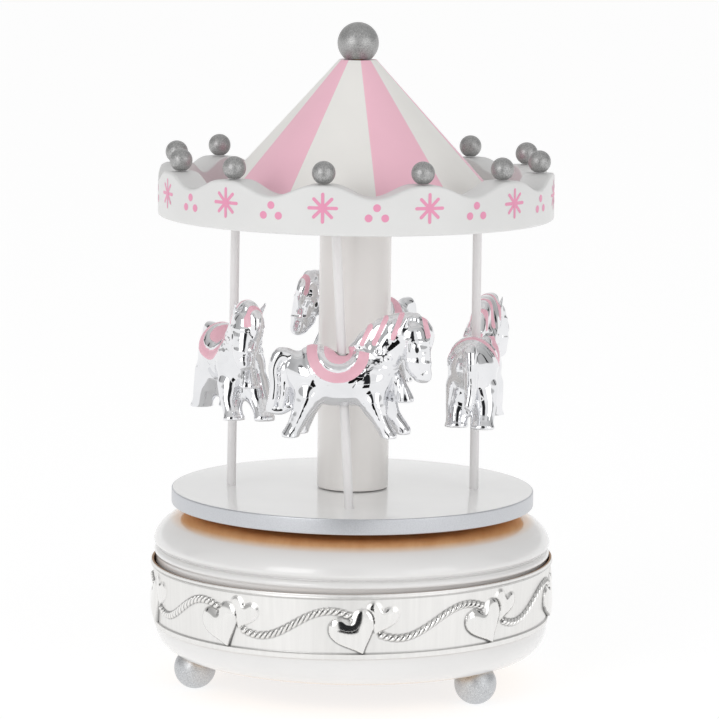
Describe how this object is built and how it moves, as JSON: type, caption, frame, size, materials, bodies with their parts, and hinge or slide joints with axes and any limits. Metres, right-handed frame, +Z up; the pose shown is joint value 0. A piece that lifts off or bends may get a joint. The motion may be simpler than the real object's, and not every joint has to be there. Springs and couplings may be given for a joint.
{
  "type": "wind-up carousel music box",
  "caption": "Carousel music box: horses on poles under a scalloped canopy turn on a drum base that holds a wind-up comb movement.",
  "frame": {"origin": "centre of the base's footprint, on the surface the three ball feet stand on", "axes": "+Z up along the carousel's axis; -Y is the front, between the left and right feet"},
  "size_m": [0.12, 0.12, 0.197],
  "materials": {
    "bare_wood": "bare beech",
    "brass": "plain machined brass",
    "cast_zinc": "as-cast zinc alloy",
    "chrome": "bright metallised surface, with pink paint on the mane and saddle",
    "fibreboard": "hardboard, unpainted",
    "pink_and_white_lacquer": "lacquer over wood, in ten pink and white stripes",
    "silver_paint": "matte silver paint with a fine sparkle, over a wooden ball",
    "silver_plate": "bright silver plate, embossed",
    "steel": "plain steel",
    "white_lacquer": "gloss white lacquer over turned wood",
    "white_plastic": "satin gloss",
    "white_satin": "satin white lacquer over wood, with pink painted stars and dots",
    "pink_paint": "gloss pink paint"
  },
  "bodies": {
    "base": {"base_shell": "white_lacquer", "bottom_cover": "fibreboard", "cover_screw_1": "steel", "cover_screw_2": "steel", "cover_screw_3": "steel", "decorative_band": "silver_plate", "foot_left": "silver_paint", "foot_right": "silver_paint", "foot_back": "silver_paint", "bedplate": "cast_zinc", "bedplate_screw_1": "steel", "bedplate_screw_2": "steel", "bedplate_screw_3": "steel", "spring_housing": "brass", "mainspring": "steel", "comb": "steel", "comb_screw_1": "steel", "comb_screw_2": "steel", "inner_bearing": "brass", "outer_bearing": "brass", "governor_bracket": "brass"},
    "carousel": {"platform": "white_lacquer", "platform_hub": "brass", "hub_screw_1": "steel", "hub_screw_2": "steel", "column": "white_lacquer", "pole_front": "white_plastic", "pole_right": "white_plastic", "pole_back": "white_plastic", "pole_left": "white_plastic", "canopy_ceiling": "white_lacquer", "crown_ring": "white_satin", "roof_cone": "pink_and_white_lacquer", "top_knob": "silver_paint", "knob_dowel": "bare_wood", "crown_ball_01": "silver_paint", "crown_ball_02": "silver_paint", "crown_ball_03": "silver_paint", "crown_ball_04": "silver_paint", "crown_ball_05": "silver_paint", "crown_ball_06": "silver_paint", "crown_ball_07": "silver_paint", "crown_ball_08": "silver_paint", "crown_ball_09": "silver_paint", "crown_ball_10": "silver_paint", "crown_ball_11": "silver_paint", "crown_ball_12": "silver_paint", "horse_front": "chrome", "horse_right": "chrome", "horse_back": "chrome", "horse_left": "chrome", "winding_arbor": "steel", "main_wheel": "brass"},
    "cylinder": {"cylinder_arbor": "steel", "pin_cylinder": "brass", "cylinder_gear": "brass"},
    "governor": {"governor_arbor": "steel", "worm_wheel": "brass"},
    "fly": {"worm": "steel", "air_brake": "steel"}
  },
  "joints": [
    {"name": "carousel_spin", "type": "hinge", "parent": "base", "child": "carousel", "pos_m": [0, 0, 0.0583], "axis": [0, 0, 1], "continuous": true},
    {"name": "cylinder_spin", "type": "hinge", "parent": "base", "child": "cylinder", "pos_m": [0.0234, 0, 0.0324], "axis": [1, 0, 0], "continuous": true},
    {"name": "governor_spin", "type": "hinge", "parent": "base", "child": "governor", "pos_m": [0.026, -0.01008, 0.0324], "axis": [1, 0, 0], "continuous": true},
    {"name": "fly_spin", "type": "hinge", "parent": "base", "child": "fly", "pos_m": [0.026, -0.01388, 0.0324], "axis": [0, 0, 1], "continuous": true}
  ],
  "couplings": [
    {"joint": "cylinder_spin", "follows": "carousel_spin", "ratio": -3},
    {"joint": "governor_spin", "follows": "carousel_spin", "ratio": 12},
    {"joint": "fly_spin", "follows": "carousel_spin", "ratio": 240}
  ]
}
